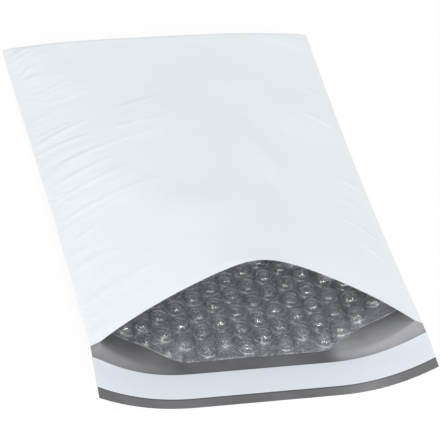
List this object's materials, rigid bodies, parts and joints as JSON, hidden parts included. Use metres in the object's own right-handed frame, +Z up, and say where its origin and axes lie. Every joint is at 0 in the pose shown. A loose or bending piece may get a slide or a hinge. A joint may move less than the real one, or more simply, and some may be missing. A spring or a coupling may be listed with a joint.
{
  "type": "padded envelope",
  "caption": "Padded mailing envelope of white film with a grey inside and an air-bubble lining, lying on its back with its mouth open and a covered adhesive strip on its lip.",
  "frame": {"origin": "on the table, under the middle of the outline", "axes": "+X across the width, +Y from the mouth to the bottom fold, +Z up from the table"},
  "size_m": [0.1836, 0.307, 0.054],
  "materials": {
    "film": "satin white film outside, dark grey inside",
    "bubble_film": "clear glossy bubble film over the grey inside",
    "adhesive": "tacky hot-melt adhesive",
    "liner": "pale satin release liner"
  },
  "bodies": {
    "root": {"outer_film": "film", "bubble_lining": "bubble_film", "adhesive_strip": "adhesive", "release_liner": "liner"}
  },
  "joints": []
}
